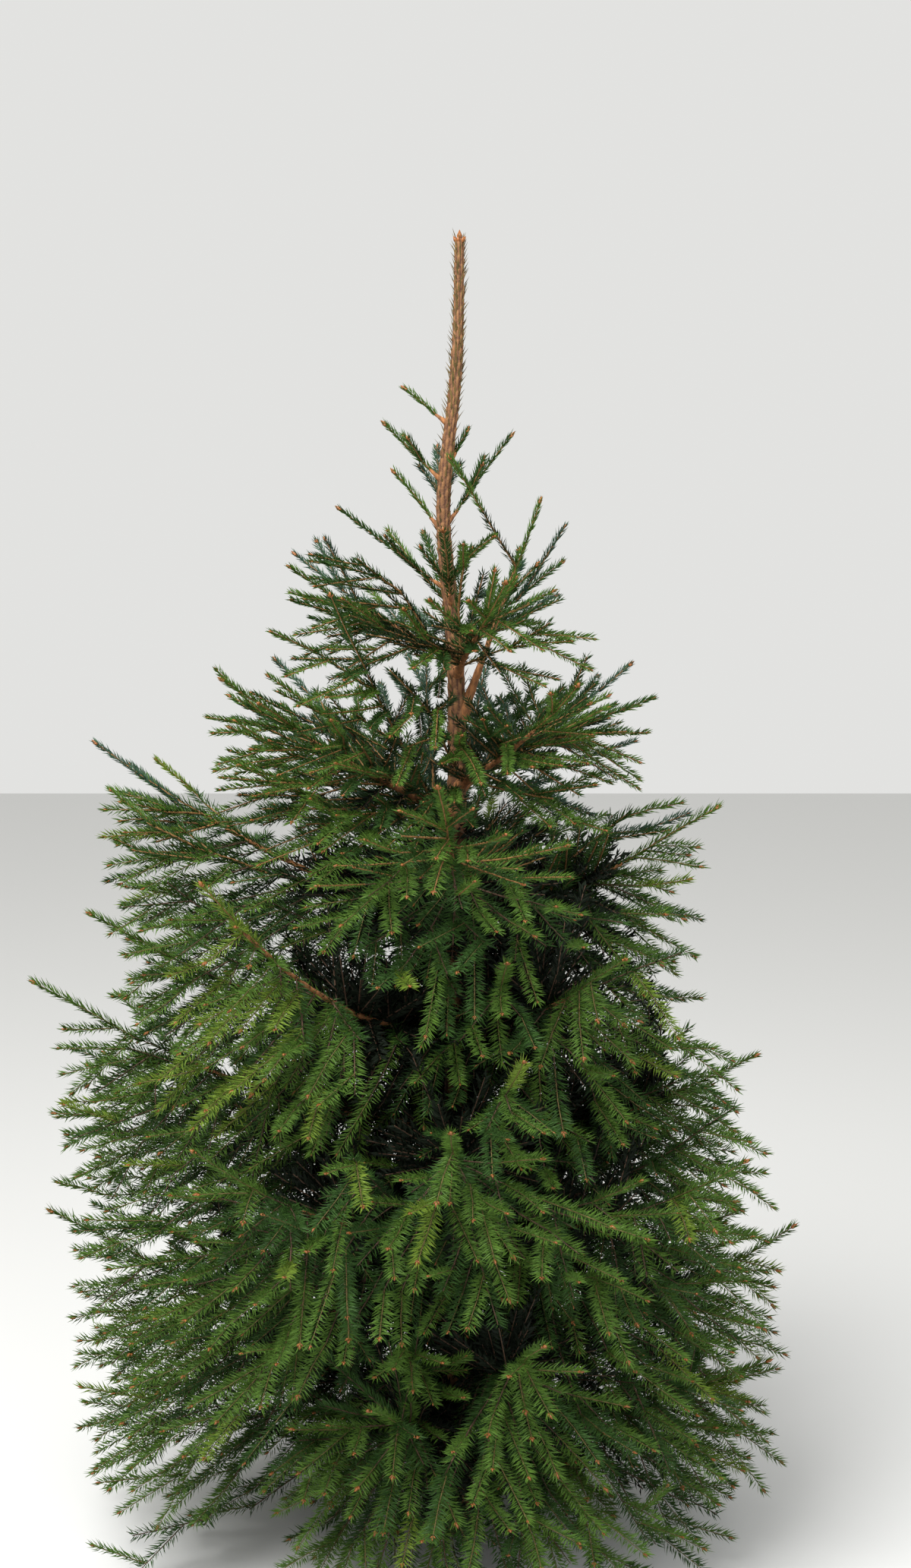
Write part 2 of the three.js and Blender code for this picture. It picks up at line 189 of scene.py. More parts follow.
def planLimbs():
    random = seededRandom(treePlan["seed"])
    planned = []

    def jitter(kind):
        return (next(random) * 2 - 1) * whorlJitter[kind]

    def addLimb(name, kind, azimuth, route, bare, droop):
        steps = np.array([route(i / treePlan["routePieces"]) for i in range(treePlan["routePieces"] + 1)])
        tip, before = route(1), route(0.8)
        planned.append({
            "name": name,
            "kind": kind,
            "azimuth": azimuth,
            "route": route,
            "bare": bare,
            "droop": droop,
            "steps": steps,
            "length": sum(np.linalg.norm(np.diff(steps, axis=0), axis=1)),
            "reach": math.hypot(tip.x, tip.y),
            "rise": (tip.z - before.z) / (tip - before).length,
        })

    for name, height, count, turn, reach, lopsided, slope, curl, bare, droop in whorls:
        for i in range(count):
            azimuth = turn + 360 * i / count + jitter("azimuth")
            root = trunkAxis(height + jitter("height"))
            length = reach * (1 - lopsided * math.cos(math.radians(azimuth)) + jitter("reach"))
            slopeHere = slope + jitter("slope")
            bow = heading(azimuth + 90, 0) * length * jitter("swing") + up * length * curl
            route = bowedRoute(root, heading(azimuth, 0) + up * slopeHere, length, bow)
            addLimb(name + str(i + 1), "limb", azimuth, route, bare, droop)
    for i, (height, azimuth, length, climb) in enumerate(topTwigs):
        bow = up * length * treePlan["twigBow"]
        route = bowedRoute(trunkAxis(height), heading(azimuth, climb), length, bow)
        bare = (trunkRadius(height) + treePlan["twigBare"]) / length
        addLimb(f"top{i + 1}", "twig", azimuth, route, bare, 0)
    direction = heading(steepLimb["azimuth"], steepLimb["climb"])
    route = bowedRoute(trunkAxis(steepLimb["height"]), direction, steepLimb["length"], Vector())
    addLimb("rival", "steep", steepLimb["azimuth"], route, steepLimb["bare"], 0)
    return planned


limbs = planLimbs()
allSteps = np.array([limb["steps"] for limb in limbs])
showyIndex = [limb["name"] for limb in limbs].index(treePlan["showyLimb"])
print("limbs planned:", len(limbs))


# growth: every limb adds a shoot a year, and buds along each shoot start side axes the year after

growth = {
    "seed": 8191,
    "yearOfLimb": 0.125,  # length of a limb's yearly shoot
    "shortest": 0.036,
    "lengthJitter": 0.24,
    "lastOrder": 3,
    "radii": (0.0008, 0.0012, 0.0017, 0.0023, 0.003),  # by age, youngest first
    "bend": 0.045,
    "turns": ((0, 1), (0.3, 1), (0.6, 1), (0.15, 0.66), (0.6, 0.66)),  # tries: so far out, at this length
    "turnJitter": 0.4,
    "lift": 0.07,  # how far a shoot turns up and out from the one before
    "wander": 0.06,
    "room": (0.041, 0.026),  # clear of other shoots, near the trunk and at the tips of the limb
    "roomRamp": 1.2,
    "roomMiddle": (0.6, 0.8),  # at this share of a shoot, this much of the room
    "cell": 0.03,
    "clearOfTrunk": 0.016,
    "clearOfGround": 0.014,
    "limit": (0.78, 0.975),  # side axes stop between these shares of the limb's reach
    "pastLimit": 0.006,
    "hangFrom": 0.15,  # a limb that droops this much also has hanging sprays
    "hangingRise": (-0.7, -0.05),  # a hanging shoot falls this steeply, in the lower and in the upper crown
    "risesFrom": (0.62, 0.34),  # from here out it turns to the rise of its limb, over so much of the reach
    "levelFrom": (0.78, 0.96),  # between these heights the hanging shoots become level ones
    "upperFrom": 0.9,  # limbs from here up are leafy down to the trunk, with thicker twigs
}
sideAxes = {
    "at": (0.02, 0.24, 0.46, 0.7),  # where they start along a shoot
    "atJitter": 0.09,
    "weaker": 0.1,  # they lose this much of their length from one start to the next
    "ratio": (1, 0.84, 0.84, 0.8),  # length, times their parent's, by order
    "vigour": (0.85, 0.3),  # and times at least this, and up to so much more
    "spread": 46,  # degrees from their parent
    "upperSpread": 0.75,  # times that in the upper crown
    "spreadJitter": 12,
    "fall": (0.55, 1.35),  # they fall at least this much times the droop, and up to so much more
    "levelDroop": 0.3,  # the droop left where the crown is level
    "nextDroop": 0.7,
    "outFrom": (0.6, 0.4),  # from here out they turn out with their limb, over so much of the reach
    "outTurn": 0.6,
}
companions = {  # weaker axes that start close to the trunk and fill the space above a drooping limb
    "count": (2, 6),  # in the lower and in the upper crown, as in the next three
    "length": (0.8, 0.95),
    "turn": ((12, 26), (12, 44)),  # degrees to a side of the limb, at least, and up to so much more
    "climb": ((10, 16), (10, 34)),
    "at": (0.06, 0.16),
    "limit": (0.84, 0.95),
}
showy = {  # the limb that shows bare
    "fromStep": 6,  # from here on its route is kept clear
    "room": 0.04,  # above and below it
    "behind": 0.03,
    "sight": 0.24,  # fall of the line from an eye in front
    "rise": -1.1,  # its hanging shoots fall this steeply
    "years": 2,  # of its side axes
    "shorter": 0.75,
}
growthRandom = seededRandom(growth["seed"])
lowestShoot = treePlan["groundClearance"] + growth["clearOfGround"]
showySteps = limbs[showyIndex]["steps"][showy["fromStep"]:]
shoots = []
waiting = []  # axes that will grow
taken = {}  # points on shoots, by cell


def chance():
    return next(growthRandom)


def atLeast(least, more):
    return least + more * chance()


def spread(size):
    return (chance() * 2 - 1) * size


def anyWay(size):
    return Vector([spread(size) for axis in "xyz"])


def levelShare(height):
    first, last = growth["levelFrom"]
    return rampUp(height, first, last - first)


def shareOut(point, index):
    return math.hypot(point.x, point.y) / limbs[index]["reach"]


def shareInSpace(point, index, limit, isHanging):
    # How far along its own limb a point lies, or None where it is outside the space of that limb.
    if point.z < lowestShoot:
        return None
    fromAxis = math.hypot(point.x - trunkAxis(point.z).x, point.y)
    if point.z < treePlan["height"] and fromAxis < trunkRadius(point.z) + growth["clearOfTrunk"]:
        return None
    if math.hypot(point.x, point.y) > limbs[index]["reach"] * limit + growth["pastLimit"]:
        return None
    apart = np.linalg.norm(allSteps - np.array(point), axis=2)
    closest = apart.min(axis=1)
    own = closest[index]
    closest[[index, showyIndex]] = math.inf
    if own > closest.min() + treePlan["spaceSlack"][isHanging]:
        return None
    return apart[index].argmin() / treePlan["routePieces"]


def cellOf(point):
    return tuple(math.floor(c / growth["cell"]) for c in point)


def hasRoom(point, clear):
    around = itertools.product(*((c - 1, c, c + 1) for c in cellOf(point)))
    return all((other - point).length >= clear for cell in around for other in taken.get(cell, ()))


def addShoot(start, end, age, order, index, spray, isShaded=False):
    middle = (start + end) / 2 + anyWay(1) * (end - start).length * growth["bend"]
    shoots.append({"points": (start, middle, end), "age": age, "order": order, "limb": index,
                   "spray": spray, "isShaded": isShaded})
    for t in (0.3, 0.55, 0.8, 1):
        point = start.lerp(end, t)
        taken.setdefault(cellOf(point), []).append(point)


def hidesShowy(point):
    # nothing grows close to the limb that shows bare, or hangs in front of it
    apart = showySteps - np.array(point)
    apart[:, 2] += apart[:, 1] * showy["sight"]
    isInFront = apart[:, 1] > -showy["behind"]
    return (isInFront & (np.hypot(apart[:, 0], apart[:, 2]) < showy["room"])).any()


def fits(start, end, index, limit, isHanging, clear=0):
    share = shareInSpace(end, index, limit, isHanging)
    if share is None:
        return False
    if index != showyIndex and any(hidesShowy(start.lerp(end, t)) for t in (0.3, 0.65, 1)):
        return False
    clear = clear or mix(*growth["room"], min(share * growth["roomRamp"], 1))
    middle, less = growth["roomMiddle"]
    return hasRoom(end, clear) and hasRoom(start.lerp(end, middle), clear * less)


def outwardAt(point, index, isHanging=False):
    # the way a shoot turns to the light: out from the trunk and up, as steep as its limb's tip, but down
    # where it hangs far from that tip
    rise = limbs[index]["rise"]
    if isHanging:
        falling = showy["rise"] if index == showyIndex else mix(*growth["hangingRise"], levelShare(point.z))
        rise = mix(falling, rise, rampUp(shareOut(point, index), *growth["risesFrom"]))
    return (Vector((point.x, point.y, 0)).normalized() + up * rise).normalized()


def growAxis(axis):
    # Its first shoot is its oldest, and its last is this year's.
    start, direction, index, isHanging = axis["start"], axis["direction"], axis["limb"], axis["isHanging"]
    for age in range(axis["years"] - 1, -1, -1):
        reach = axis["length"] * (1 + spread(growth["lengthJitter"]))
        outward = outwardAt(start, index, isHanging)
        end = None
        for turn, size in growth["turns"]:
            way = (direction.lerp(outward, turn) + anyWay(turn) * growth["turnJitter"]).normalized()
            target = start + way * reach * size
            if reach * size >= growth["shortest"] and fits(start, target, index, axis["limit"], isHanging):
                direction, end = way, target
                break
        if end is None:
            return
        addShoot(start, end, age, axis["order"], index, axis["spray"])
        if age > 0 and axis["order"] < growth["lastOrder"]:
            addSides(start, end, age, axis)
        direction = (direction + (up + outward) * growth["lift"] + anyWay(growth["wander"])).normalized()
        start = end


def addSides(start, end, years, parent):
    index, droop, order = parent["limb"], parent["droop"], parent["order"] + 1
    isShowy, isDrooping = index == showyIndex, droop > growth["hangFrom"]
    level = levelShare(start.z)
    between = sideAxes["spread"] * (sideAxes["upperSpread"] if start.z > growth["upperFrom"] else 1)
    direction = (end - start).normalized()
    across = acrossOf(direction)
    over = across.cross(direction).normalized()
    for number, at in enumerate(sideAxes["at"]):
        ways = []  # directions, each with whether its axis hangs
        for side in (-1, 1):
            angle = math.radians(between + spread(sideAxes["spreadJitter"]))
            flat = direction * math.cos(angle) + across * side * math.sin(angle)
            fall = droop * mix(1, sideAxes["levelDroop"], level) * atLeast(*sideAxes["fall"])
            ways.append((flat - up * fall, parent["isHanging"]))
        if isShowy:
            # one side axis, on the two sides in turn, and a spray that hangs on each side
            ways = ways[1:]
            for sideways in (across, -across):
                ways.append((direction * 0.5 + sideways * atLeast(0.1, 0.5) - up * atLeast(0.6, 0.5), True))
            across = -across
        elif order == 1 and isDrooping:
            side = 1 if chance() < 0.5 else -1
            for tilt in (side, -side):
                fall = atLeast(0.5, 0.8) * mix(1, -0.1, level)
                ways.append((direction * 0.55 + across * tilt * atLeast(0.15, 0.6) - up * fall, True))
        elif order == 1:
            ways.append((direction * 0.7 + across * spread(0.6) + over * 0.6, False))
        if order == 1 and number % 2 == 1 and not isDrooping:
            ways.append((direction + over * atLeast(0.15, 0.3) + across * spread(0.5), False))
        if order > 1 and isDrooping:
            ways.append((direction * 0.8 - up * 0.6 + across * spread(0.4), True))
        for way, isHanging in ways:
            place = start.lerp(end, rampUp(at + spread(sideAxes["atJitter"]), 0, 1))
            turn = rampUp(shareOut(place, index), *sideAxes["outFrom"]) * sideAxes["outTurn"]
            way = way.normalized().lerp(outwardAt(place, index, isHanging), turn)
            size = (1 - number * sideAxes["weaker"]) * atLeast(*sideAxes["vigour"])
            size *= showy["shorter"] if isShowy else 1
            waiting.append({
                "start": place,
                "direction": way.normalized(),
                "years": min(years, showy["years"]) if isShowy else years,
                "length": parent["length"] * sideAxes["ratio"][order] * size,
                "order": order,
                "limb": index,
                "droop": droop * sideAxes["nextDroop"],
                "isHanging": isHanging,
                "limit": mix(*growth["limit"], chance() ** 0.8),
                "spray": chance(),
            })


def addCompanions(index, limb, years):
    isUpper = limb["route"](0).z > growth["upperFrom"]
    side = 1 if chance() < 0.5 else -1
    for number in range(companions["count"][isUpper]):
        turn = side * atLeast(*companions["turn"][isUpper]) * (1 if number % 2 == 0 else -1)
        if index == showyIndex:
            turn = -abs(turn)  # away from the viewer
        waiting.append({
            "start": limb["route"](mix(*companions["at"], chance())),
            "direction": heading(limb["azimuth"] + turn, atLeast(*companions["climb"][isUpper])),
            "years": years + 1,
            "length": growth["yearOfLimb"] * companions["length"][isUpper],
            "order": 1,
            "limb": index,
            "droop": limb["droop"],
            "isHanging": False,
            "limit": mix(*companions["limit"], chance()),
            "spray": chance(),
        })


def growLimb(index, limb):
    route, bare = limb["route"], limb["bare"]
    years = max(1, round(limb["length"] * (1 - bare) / growth["yearOfLimb"]))
    for i in range(years):
        age = years - 1 - i
        start, end = (route(mix(bare, 1, part / years)) for part in (i, i + 1))
        whole = {"order": 0, "limb": index, "droop": limb["droop"], "length": (end - start).length,
                 "isHanging": False}
        addShoot(start, end, age, 0, index, 0.5)
        if limb["kind"] == "limb":
            addSides(start, end, age + 1, whole)
            if i == 0:
                addCompanions(index, limb, years)
                if index == showyIndex or route(0).z > growth["upperFrom"]:
                    addSides(route(0.1), start, years, whole)
        elif limb["kind"] == "twig" and limb["length"] > 0.1:
            # two side shoots on a long twig
            direction = (end - start).normalized()
            for side in (-1, 1):
                way = Matrix.Rotation(math.radians(50 * side), 3, "Z") @ direction
                place = route(bare + atLeast(0.1, 0.1))
                addShoot(place, place + way * limb["length"] * 0.44, 0, 1, index, chance())


for index, limb in enumerate(limbs):
    growLimb(index, limb)
steepIndex = len(limbs) - 1
for at, azimuth, climb, length in steepLimb["forks"]:
    years = 1 if length < 0.1 else 2
    start, direction = limbs[-1]["route"](at), heading(azimuth, climb)
    for age in range(years - 1, -1, -1):
        end = start + direction * length / years
        addShoot(start, end, age, 1, steepIndex, chance())
        start = end
for order in range(1, growth["lastOrder"] + 1):
    ready = [axis for axis in waiting if axis["order"] == order]
    # hanging ones mostly first, each kind in a chance order
    ready.sort(key=lambda axis: chance() - (0.5 if axis["isHanging"] else 0))
    for axis in ready:
        growAxis(axis)

# later shoots fill the room left between the sprays, hanging ones where the limb droops
filling = {
    "tries": 30000,
    "from": 0.3,
    "length": (0.07, 0.12),
    "scatter": 0.42,
    "limit": 0.95,
    "room": (0.032, 0.027),  # in the lower and in the upper crown
}
for i in range(filling["tries"]):
    parent = shoots[int(chance() * len(shoots))]
    index = parent["limb"]
    limb = limbs[index]
    if limb["kind"] != "limb":
        continue
    isHanging = limb["droop"] > growth["hangFrom"] or limb["route"](0).z > growth["upperFrom"]
    start = parent["points"][0].lerp(parent["points"][2], mix(filling["from"], 1, chance()))
    way = (outwardAt(start, index, isHanging) + anyWay(1) * filling["scatter"]).normalized()
    end = start + way * mix(*filling["length"], chance())
    isHiding = index == showyIndex and (hidesShowy(end) or hidesShowy(start.lerp(end, 0.7)))
    room = mix(*filling["room"], levelShare(end.z))
    if not isHiding and fits(start, end, index, filling["limit"], isHanging, room):
        addShoot(start, end, 0, min(parent["order"] + 1, growth["lastOrder"]), index, chance())
        parent["age"] = max(parent["age"], 1)
print("shoots grown:", len(shoots))

# Short twigs fill the inside of the crown, each from the nearest limb: shaded ones in the lower crown, and
# rising ones in the upper crown. The shaded ones near the trunk carry near-black needles, painted shade.
inner = {
    "tries": 22000,
    "heights": (0.05, 1.2),
    "nearest": 0.034,  # to the axis of the trunk
    "widest": (0.4, 0.15),  # from it, low down and at the top
    "farthest": 0.82,  # share of the limb's reach
    "shadedBelow": 0.9,
    "paintedShadeTo": 0.74,
    "length": (0.035, 0.16),
    "room": 0.0225,
    "climb": (0.2, 0.75),  # sine of the rise of the rising ones
    "back": 0.14,  # a twig starts this share of the limb nearer to the trunk than its tip
    "firstStart": 0.08,
}
for i in range(inner["tries"]):
    rise = chance()
    height = mix(*inner["heights"], rise)
    reach = mix(inner["nearest"], mix(*inner["widest"], rise), chance())
    target = trunkAxis(height) + heading(360 * chance(), 0) * reach
    apart = np.linalg.norm(allSteps - np.array(target), axis=2)
    index, step = divmod(int(apart.argmin()), treePlan["routePieces"] + 1)
    limb, share = limbs[index], shareOut(target, index)
    isInside = limb["kind"] == "limb" and share <= inner["farthest"] and target.z >= lowestShoot
    if not isInside or hidesShowy(target):
        continue
    start = limb["route"](max(step / treePlan["routePieces"] - inner["back"], inner["firstStart"]))
    length, climb = (target - start).length, (target - start).normalized().z
    if not inner["length"][0] < length < inner["length"][1] or not hasRoom(target, inner["room"]):
        continue
    isShaded = height < inner["shadedBelow"]
    if isShaded or inner["climb"][0] < climb < inner["climb"][1]:
        addShoot(start, target, 1, 2, index, chance(), isShaded and share < inner["paintedShadeTo"])
totalLength = sum((s["points"][2] - s["points"][0]).length for s in shoots)
shadedCount = sum(s["isShaded"] for s in shoots)
print("all shoots:", len(shoots), "shaded:", shadedCount, "metres:", round(totalLength, 1))


# meshes from arrays

def meshObject(name, places, faces):
    mesh = bpy.data.meshes.new(name)
    mesh.vertices.add(len(places))
    mesh.vertices.foreach_set("co", np.ascontiguousarray(places, dtype=np.float32).ravel())
    mesh.loops.add(faces.size)
    mesh.loops.foreach_set("vertex_index", np.ascontiguousarray(faces, dtype=np.int32).ravel())
    mesh.polygons.add(len(faces))
    mesh.polygons.foreach_set("loop_start", np.arange(0, faces.size, 3, dtype=np.int32))
    mesh.update(calc_edges=True)
    mesh.shade_flat()
    return placeObject(name, mesh)


def coneMesh(segments, radius, isClosed):
    bm = bmesh.new()
    bmesh.ops.create_cone(bm, segments=segments, radius1=radius, radius2=0, depth=1, cap_ends=isClosed,
                          matrix=Matrix.Translation((0, 0, 0.5)))
    return bm


def templateArrays(bm):
    bmesh.ops.triangulate(bm, faces=bm.faces)
    bm.verts.index_update()
    places = np.array([v.co[:] for v in bm.verts])
    faces = np.array([[v.index for v in f.verts] for f in bm.faces])
    bm.free()
    return places, faces


def stampArrays(template, roots, alongs, sides, tops, lengths, widths):
    # Copies of a template whose z runs along, x to the side and y to the top.
    places, faces = template
    size = widths[:, None, None]
    made = roots[:, None, :] + places[None, :, 2:3] * lengths[:, None, None] * alongs[:, None, :]
    made = made + places[None, :, 0:1] * size * sides[:, None, :]
    made = made + places[None, :, 1:2] * size * tops[:, None, :]
    allFaces = faces[None, :, :] + (np.arange(len(roots)) * len(places))[:, None, None]
    return made.reshape(-1, 3), allFaces.reshape(-1, 3)


# needles: a long kite folded along its back, pointed at both ends

needleShape = {
    "length": 0.0165,
    "lengthJitter": 0.14,
    "byOrder": (1, 1, 0.96, 0.86),  # length, by the order of the shoot
    "ends": (0.66, 0.34),  # length at the ends of a shoot, and how much more from there
    "width": 0.00098,  # half width, larger than life by about a half
    "widestAt": 0.34,
    "fold": 0.85,
    "perMetre": (1220, 1040, 860, 600, 250),  # by the age of the shoot
    "inside": 0.6,  # fewer needles on shoots near the trunk
    "insideTo": (0.2, 0.5),  # that is up to here, and then less so over this much of the reach
    "onShowy": 420,  # per metre, on the limb that shows bare
    "shaded": (430, 2.2),  # per metre, and how much wider, on shaded twigs
    "combAngle": (60, 40),  # degrees from a hanging shoot, for needles at its sides and on top
    "brushAngle": (44, 32),  # the same for a rising shoot
    "brushFrom": (-0.15, 0.4),
    "tipAngle": 22,
    "closesFrom": 0.88,  # share of a shoot from where its needles close round the bud
    "angleJitter": 7,
    "angleLimits": (12, 85),
    "lift": 0.06,  # they turn up to the light
    "facing": (0.4, 0.6),  # their broad side turns this much up, and this much anywhere
    "slimFrom": 0.97,  # above this height the needles lie closer and are shorter
    "slim": (1.15, 0.76, 6),  # how many more, how long, and how many degrees closer
    "seed": 60013,
}


def makeNeedleTemplate():
    bm = coneMesh(3, 1, True)
    low = [v for v in bm.verts if v.co.z < 0.5]
    root = max(low, key=lambda v: v.co.y)
    edge = [v for v in low if v is not root]
    root.co = Vector((0, 0, 0))
    for v in edge:
        v.co = Vector((math.copysign(1, v.co.x), -needleShape["fold"], needleShape["widestAt"]))
    bmesh.ops.recalc_face_normals(bm, faces=bm.faces)
    under = [f for f in bm.faces if all(v in f.verts for v in edge)]
    bmesh.ops.delete(bm, geom=under, context="FACES_ONLY")
    return templateArrays(bm)


needleTemplate = makeNeedleTemplate()
needleRandom = np.random.default_rng(needleShape["seed"])
needleStacks = {}


def needlesPerMetre(shoot):
    if shoot["limb"] == showyIndex and shoot["order"] == 0 and shoot["age"] > 0:
        return needleShape["onShowy"]
    if shoot["isShaded"]:
        return needleShape["shaded"][0]
    outer = rampUp(shareOut(shoot["points"][2], shoot["limb"]), *needleShape["insideTo"])
    return needleShape["perMetre"][min(shoot["age"], 4)] * mix(needleShape["inside"], 1, outer)


def needlesOnShoot(shoot):
    points = [np.array(p) for p in shoot["points"]]
    chord = points[2] - points[0]
    length = np.linalg.norm(chord)
    isSlim = points[2][2] > needleShape["slimFrom"]
    more, slimLength, closer = needleShape["slim"] if isSlim else (1, 1, 0)
    count = int(length * needlesPerMetre(shoot) * more)
    if count < 3:
        return None
    t = (np.arange(count) + needleRandom.random(count)) / count
    weights = ((1 - t) ** 2, 2 * t * (1 - t), t ** 2)
    roots = sum(point * weight[:, None] for point, weight in zip(points, weights))
    along = chord / length
    side = np.cross(along, (0, 0, 1))
    side = side / np.linalg.norm(side) if np.linalg.norm(side) > 0.05 else np.array((1.0, 0, 0))
    top = np.cross(side, along)
    turn = np.arange(count) * goldenTurn + needleRandom.random(count) * 0.8
    # needles under the shoot part to its two sides
    under = np.cos(turn) < -0.25
    turn = np.where(under, np.sign(np.sin(turn)) * (1.6 + 0.6 * needleRandom.random(count)), turn)
    rise = rampUp(along[2], *needleShape["brushFrom"])
    comb, brush = needleShape["combAngle"], needleShape["brushAngle"]
    sideAngle, topAngle = mix(comb[0], brush[0], rise), mix(comb[1], brush[1], rise)
    angle = mix(topAngle, sideAngle, np.abs(np.sin(turn))) - closer
    if shoot["age"] == 0:
        closing = np.clip((t - needleShape["closesFrom"]) / (1 - needleShape["closesFrom"]), 0, 1)
        angle = mix(angle, needleShape["tipAngle"], closing)
    angle = angle + needleRandom.normal(0, needleShape["angleJitter"], count)
    angle = np.radians(np.clip(angle, *needleShape["angleLimits"]))
    out = np.cos(turn)[:, None] * top + np.sin(turn)[:, None] * side
    alongs = np.cos(angle)[:, None] * along + np.sin(angle)[:, None] * out
    alongs[:, 2] += needleShape["lift"]
    alongs /= np.linalg.norm(alongs, axis=1)[:, None]
    # the broad side turns out of the crown and up, to the light
    rising, anywhere = needleShape["facing"]
    facing = points[1] * (1, 1, 0)
    facing = facing / (np.linalg.norm(facing) + 1e-6) + (0, 0, rising)
    facing = facing + needleRandom.normal(0, anywhere, (count, 3))
    tops = facing - alongs * (alongs * facing).sum(axis=1)[:, None]
    tops /= np.linalg.norm(tops, axis=1)[:, None] + 1e-9
    sides = np.cross(tops, alongs)
    least, longer = needleShape["ends"]
    lengths = needleShape["length"] * (1 + needleRandom.uniform(-1, 1, count) * needleShape["lengthJitter"])
    lengths *= least + longer * np.clip(np.minimum(t + 0.06, 1.1 - t) / 0.2, 0, 1)
    lengths *= slimLength * needleShape["byOrder"][min(shoot["order"], 3)]
    widths = needleShape["width"] * (0.9 + 0.2 * needleRandom.random(count))
    widths *= needleShape["shaded"][1] if shoot["isShaded"] else 1
    radius = growth["radii"][min(shoot["age"], 4)] * 0.6
    return roots + out * radius, alongs, sides, tops, lengths, widths


# Six greens and a dry brown. A spray is lighter near the tips of the limbs and darker towards the trunk, which
# is painted light and painted shade, and it is lighter in its first year. Sprays on the limb that shows bare
# are lighter still, painted light, and some sprays at the back of the upper crown are blue.
needleGreens = ("sunlit", "fresh", "green", "deep", "blue", "shaded", "dry")
# levels of green for a spray: "inside" darkens it towards the trunk as painted shade, and the outermost sprays
# come out as the sunlit green, painted light
greenLevels = {"outermost": 0.7, "inside": 2.2, "aged": 0.5, "bySpray": 1.3, "showy": -0.7}
blueSprays = {"share": 0.4, "behind": 0.03, "above": 0.9}


def greenOf(shoot):
    # near-black needles on the inner twigs: painted shade
    if shoot["isShaded"]:
        return "shaded"
    middle = shoot["points"][1]
    isBlue = chance() < blueSprays["share"]
    if isBlue and middle.y > blueSprays["behind"] and middle.z > blueSprays["above"]:
        return "blue"
    # painted shade towards the trunk, painted light out at the tips of the limbs
    level = greenLevels["outermost"] + greenLevels["inside"] * (1 - shareOut(middle, shoot["limb"]))
    level += greenLevels["aged"] if shoot["age"] else 0
    level += greenLevels["bySpray"] * (shoot["spray"] - 0.5)
    # the limb that shows bare gets lighter greens: painted light, so it looks lit
    level += greenLevels["showy"] if shoot["limb"] == showyIndex else 0
    return needleGreens[round(min(max(level, 0), 3))]


for shoot in shoots:
    stamped = needlesOnShoot(shoot)
    if stamped:
        needleStacks.setdefault(greenOf(shoot), []).append(stamped)
needleCounts = {kind: sum(len(part[0]) for part in stack) for kind, stack in needleStacks.items()}
print("needles:", sum(needleCounts.values()), needleCounts)


# wood: limbs and twigs are bevelled curves, made into meshes

def tubeObject(name, strands, resolution):
    curve = bpy.data.curves.new(name, "CURVE")
    curve.dimensions = "3D"
    curve.bevel_depth = 1
    curve.bevel_resolution = resolution
    curve.use_fill_caps = True
    for strand in strands:
        spline = curve.splines.new("POLY")
        spline.points.add(len(strand) - 1)
        for point, (place, radius) in zip(spline.points, strand):
            point.co = (*place, 1)
            point.radius = radius
    source = placeObject(name, curve)
    bpy.context.view_layer.update()
    mesh = bpy.data.meshes.new_from_object(source.evaluated_get(bpy.context.evaluated_depsgraph_get()))
    bpy.data.objects.remove(source)
    bpy.data.curves.remove(curve)
    mesh.name = name
    return placeObject(name, mesh)


twigShape = {
    "finer": 0.86,  # from the second order on
    "upper": 1.4,  # thicker in the upper crown
    "taper": 0.92,
    "tip": 0.75,
}


def twigStrand(shoot):
    age = min(shoot["age"], 4)
    size = 1 if shoot["order"] < 2 else twigShape["finer"]
    size *= twigShape["upper"] if shoot["points"][2].z > growth["upperFrom"] else 1
    thick, slim = growth["radii"][age] * size, growth["radii"][max(age - 1, 0)] * size * twigShape["taper"]
    if age == 0:
        slim = thick * twigShape["tip"]
    first, middle, last = shoot["points"]
    if shoot["isShaded"] or shoot["order"] == growth["lastOrder"]:
        return [(first, thick), (last, slim)]
    return [(first, thick), ((first + middle * 2 + last) / 4, (thick + slim) / 2), (last, slim)]


twigStrands = {"young": [], "older": [], "upper": []}
for shoot in shoots:
    kind = "upper" if shoot["points"][2].z > growth["upperFrom"] else ("older" if shoot["age"] else "young")
    twigStrands[kind].append(twigStrand(shoot))
twigs = {kind: tubeObject(kind + "Twigs", strands, 0) for kind, strands in twigStrands.items()}
print("twigs:", {kind: len(piece.data.polygons) for kind, piece in twigs.items()})

limbBark = {
    "ring": 0.0045,
    "rootRadius": 0.0056,
    "massRadius": 0.0036,  # where the needles begin
    "lastRadius": 0.0022,
    "twigRadii": (0.0026, 0.0016),
    "pastBare": (0.34, 0.05),  # how far the bark goes on among the needles, on a limb and on a top twig
    "farthest": 0.8,  # and to where at most
    "onShowy": 0.86,  # and to where on the limb that shows bare
    "collar": (0.7, 0.007),  # how much thicker at the trunk, and over what length
    "knots": (0.06, 1.2),
    "relief": 0.0004,
    "grain": 420,
}


